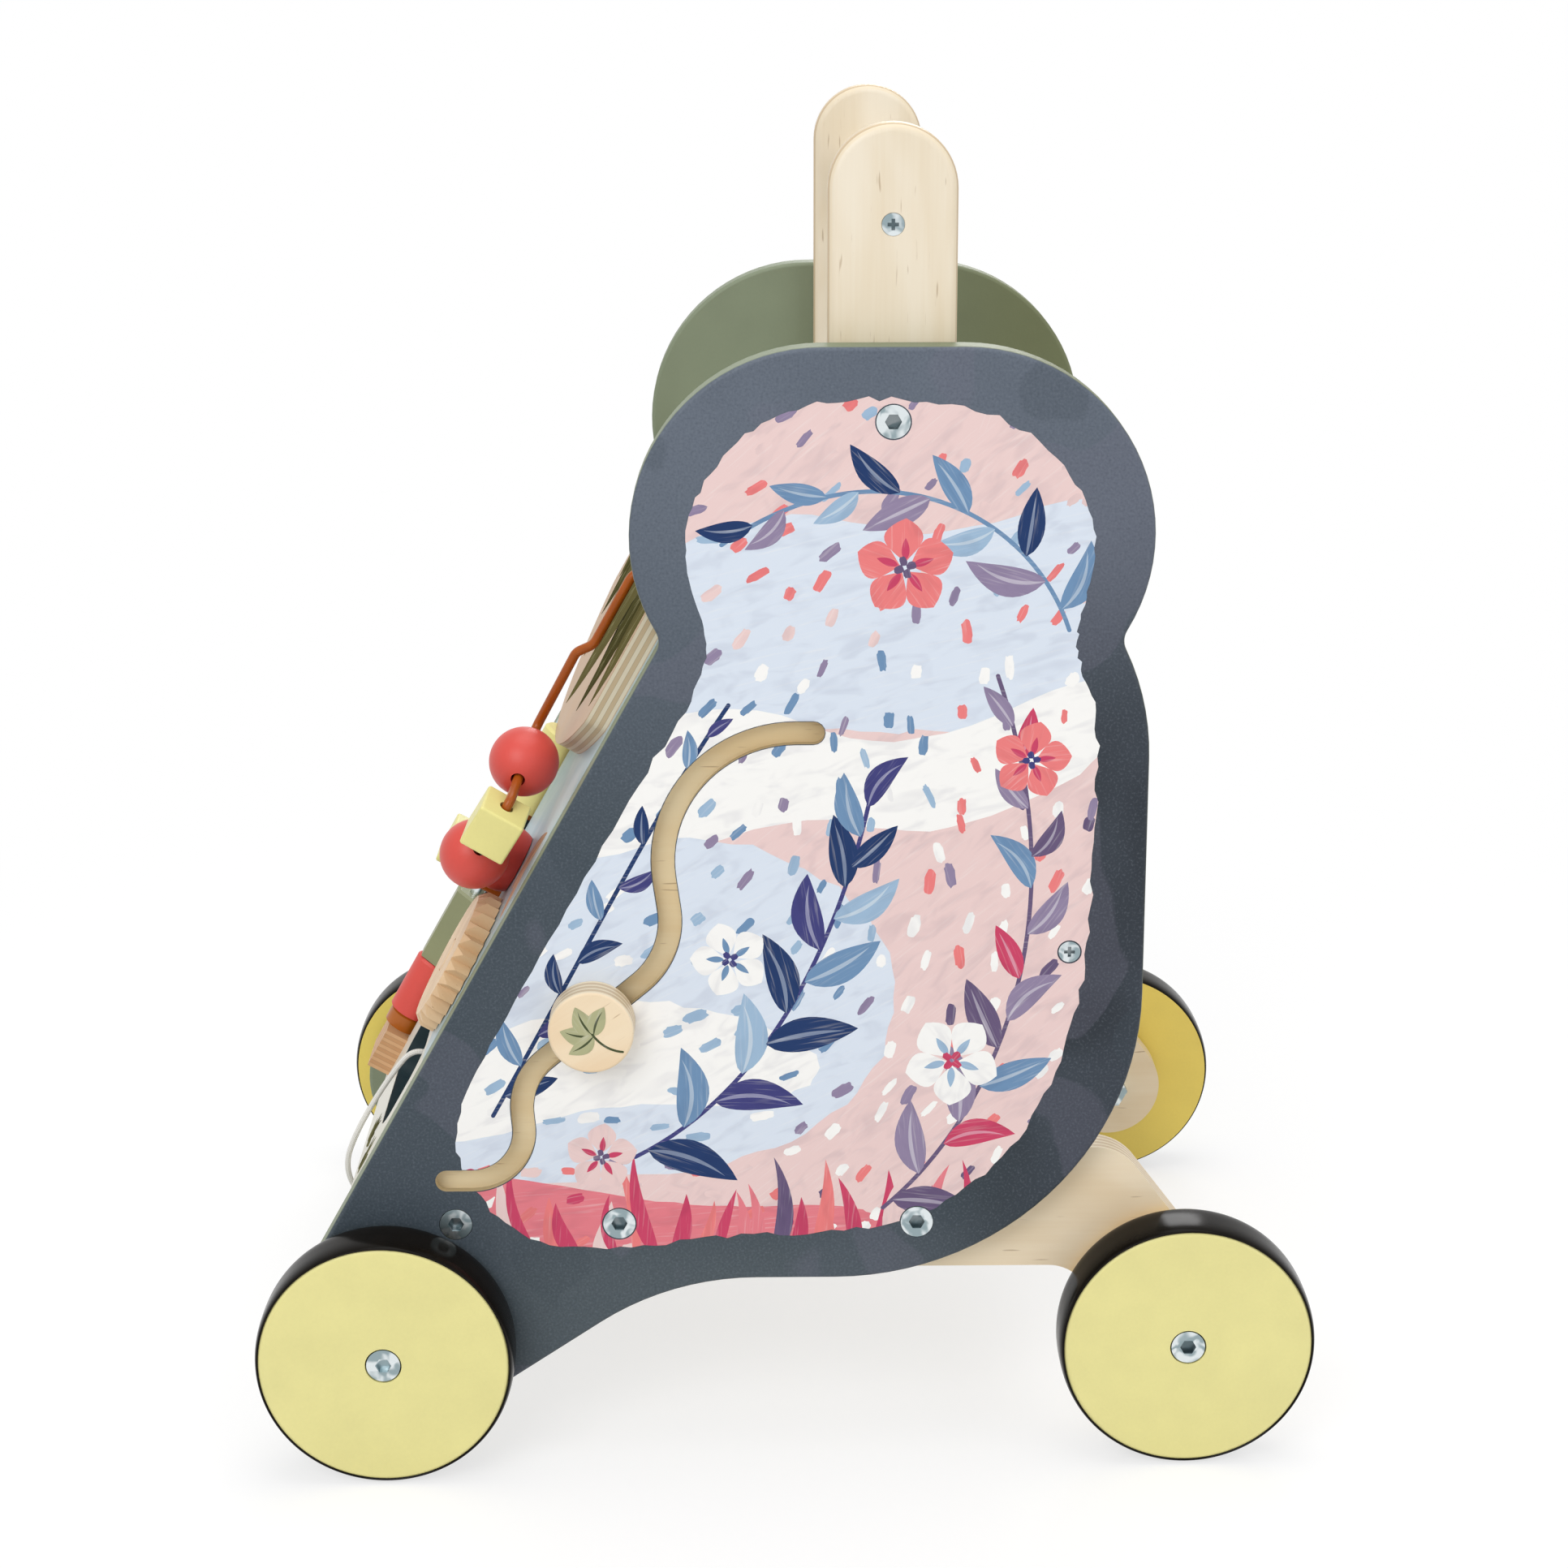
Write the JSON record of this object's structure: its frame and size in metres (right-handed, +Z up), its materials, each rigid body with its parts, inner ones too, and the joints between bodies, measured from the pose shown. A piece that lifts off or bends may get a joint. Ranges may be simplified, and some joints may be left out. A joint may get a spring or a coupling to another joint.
{
  "type": "push walker",
  "caption": "Wooden push walker with shaped side panels, rubber-tyred wheels, a dowel handle, an open toy bin and a sloping board of beads, rollers and a toothed wheel.",
  "frame": {"origin": "on the floor, midway between the axles and midway between the side panels", "axes": "+X towards the child who pushes, +Y to the child's right, +Z up"},
  "size_m": [0.3786, 0.2928, 0.4777],
  "materials": {
    "slate_panel": "satin",
    "birch_ply": "satin",
    "pale_board": "satin",
    "peach_plate": "satin",
    "lemon_paint": "satin",
    "coral_paint": "satin",
    "sage_paint": "satin",
    "amber_paint": "satin",
    "natural_wood": "satin",
    "tyre": "satin",
    "bush_plastic": "matte",
    "dark_steel": "satin",
    "steel": "brushed",
    "orange_wire": "gloss",
    "cord": "braided"
  },
  "bodies": {
    "frame": {"left_panel": "slate_panel", "right_panel": "slate_panel", "left_arm": "birch_ply", "right_arm": "birch_ply", "handle_bar": "birch_ply", "left_rail": "birch_ply", "right_rail": "birch_ply", "bin_floor": "birch_ply", "bin_back": "birch_ply", "front_board": "pale_board", "upper_plate": "peach_plate", "panel_bolts": "dark_steel", "barrel_nuts": "steel", "arm_tee_nuts": "steel", "handle_screws": "dark_steel", "bin_screws": "dark_steel", "board_dowels": "natural_wood", "arm_dowels": "natural_wood", "axle_bolts": "dark_steel", "axle_washers": "bush_plastic", "axle_nuts": "steel", "roller_rod": "natural_wood", "rod_block": "birch_ply", "roller_spacer": "amber_paint", "rod_collar": "natural_wood", "gear_pin": "natural_wood", "bead_wire": "orange_wire", "pull_cord": "cord", "cord_block": "natural_wood"},
    "front_left_wheel_set": {"front_left_wheel": "lemon_paint", "front_left_tyre": "tyre", "front_left_bush": "bush_plastic"},
    "front_right_wheel_set": {"front_right_wheel": "lemon_paint", "front_right_tyre": "tyre", "front_right_bush": "bush_plastic"},
    "rear_left_wheel_set": {"rear_left_wheel": "lemon_paint", "rear_left_tyre": "tyre", "rear_left_bush": "bush_plastic"},
    "rear_right_wheel_set": {"rear_right_wheel": "lemon_paint", "rear_right_tyre": "tyre", "rear_right_bush": "bush_plastic"},
    "left_knob_set": {"left_knob": "birch_ply", "left_knob_stem": "steel"},
    "right_knob_set": {"right_knob": "birch_ply", "right_knob_stem": "steel"},
    "upper_ball_set": {"upper_ball": "coral_paint"},
    "cube_bead_set": {"cube_bead": "lemon_paint"},
    "lower_ball_set": {"lower_ball": "coral_paint"},
    "gear_set": {"gear_wheel": "natural_wood"},
    "red_roller_set": {"red_roller": "coral_paint"},
    "sage_roller_set": {"sage_roller": "sage_paint"},
    "yellow_roller_set": {"yellow_roller": "lemon_paint"},
    "peg_ball_set": {"peg_ball": "coral_paint", "peg_ball_ring": "natural_wood"},
    "peg_cube_set": {"peg_cube": "lemon_paint", "peg_cube_ring": "natural_wood"}
  },
  "joints": [
    {"name": "front_left_wheel_spin", "type": "hinge", "parent": "frame", "child": "front_left_wheel_set", "pos_m": [-0.14325, -0.1369, 0.046], "axis": [0, 1, 0], "continuous": true},
    {"name": "front_right_wheel_spin", "type": "hinge", "parent": "frame", "child": "front_right_wheel_set", "pos_m": [-0.14325, 0.1369, 0.046], "axis": [0, 1, 0], "continuous": true},
    {"name": "rear_left_wheel_spin", "type": "hinge", "parent": "frame", "child": "rear_left_wheel_set", "pos_m": [0.14325, -0.1271, 0.046], "axis": [0, 1, 0], "continuous": true},
    {"name": "rear_right_wheel_spin", "type": "hinge", "parent": "frame", "child": "rear_right_wheel_set", "pos_m": [0.14325, 0.1271, 0.046], "axis": [0, 1, 0], "continuous": true},
    {"name": "left_knob_slide", "type": "slide", "parent": "frame", "child": "left_knob_set", "axis": [-0.766, 0, -0.6428], "range_m": [-0.021, 0.021]},
    {"name": "right_knob_slide", "type": "slide", "parent": "frame", "child": "right_knob_set", "axis": [-0.766, 0, -0.6428], "range_m": [-0.021, 0.021]},
    {"name": "upper_ball_slide", "type": "slide", "parent": "frame", "child": "upper_ball_set", "axis": [-0.1141, -0.958, -0.2631], "range_m": [-0.0045, 0.0015]},
    {"name": "cube_bead_spin", "type": "hinge", "parent": "frame", "child": "cube_bead_set", "pos_m": [-0.10213, -0.10863, 0.23402], "axis": [-0.5007, 0.2114, -0.8394], "continuous": true},
    {"name": "lower_ball_slide", "type": "slide", "parent": "frame", "child": "lower_ball_set", "axis": [-0.2514, 0.8567, -0.4504], "range_m": [-0.001, 0.002]},
    {"name": "gear_spin", "type": "hinge", "parent": "frame", "child": "gear_set", "pos_m": [-0.11948, -0.085, 0.17538], "axis": [-0.8732, 0, 0.4873], "continuous": true},
    {"name": "red_roller_spin", "type": "hinge", "parent": "frame", "child": "red_roller_set", "pos_m": [-0.1414, -0.005, 0.13448], "axis": [0.4873, 0, 0.8732], "continuous": true},
    {"name": "sage_roller_spin", "type": "hinge", "parent": "frame", "child": "sage_roller_set", "pos_m": [-0.12775, -0.005, 0.15893], "axis": [0.4873, 0, 0.8732], "continuous": true},
    {"name": "yellow_roller_spin", "type": "hinge", "parent": "frame", "child": "yellow_roller_set", "pos_m": [-0.09169, -0.005, 0.22354], "axis": [0.4873, 0, 0.8732], "continuous": true},
    {"name": "peg_ball_spin", "type": "hinge", "parent": "frame", "child": "peg_ball_set", "pos_m": [-0.09765, -0.068, 0.20568], "axis": [-0.8732, 0, 0.4873], "continuous": true},
    {"name": "peg_cube_spin", "type": "hinge", "parent": "frame", "child": "peg_cube_set", "pos_m": [-0.11593, 0.035, 0.17294], "axis": [-0.8732, 0, 0.4873], "continuous": true}
  ]
}
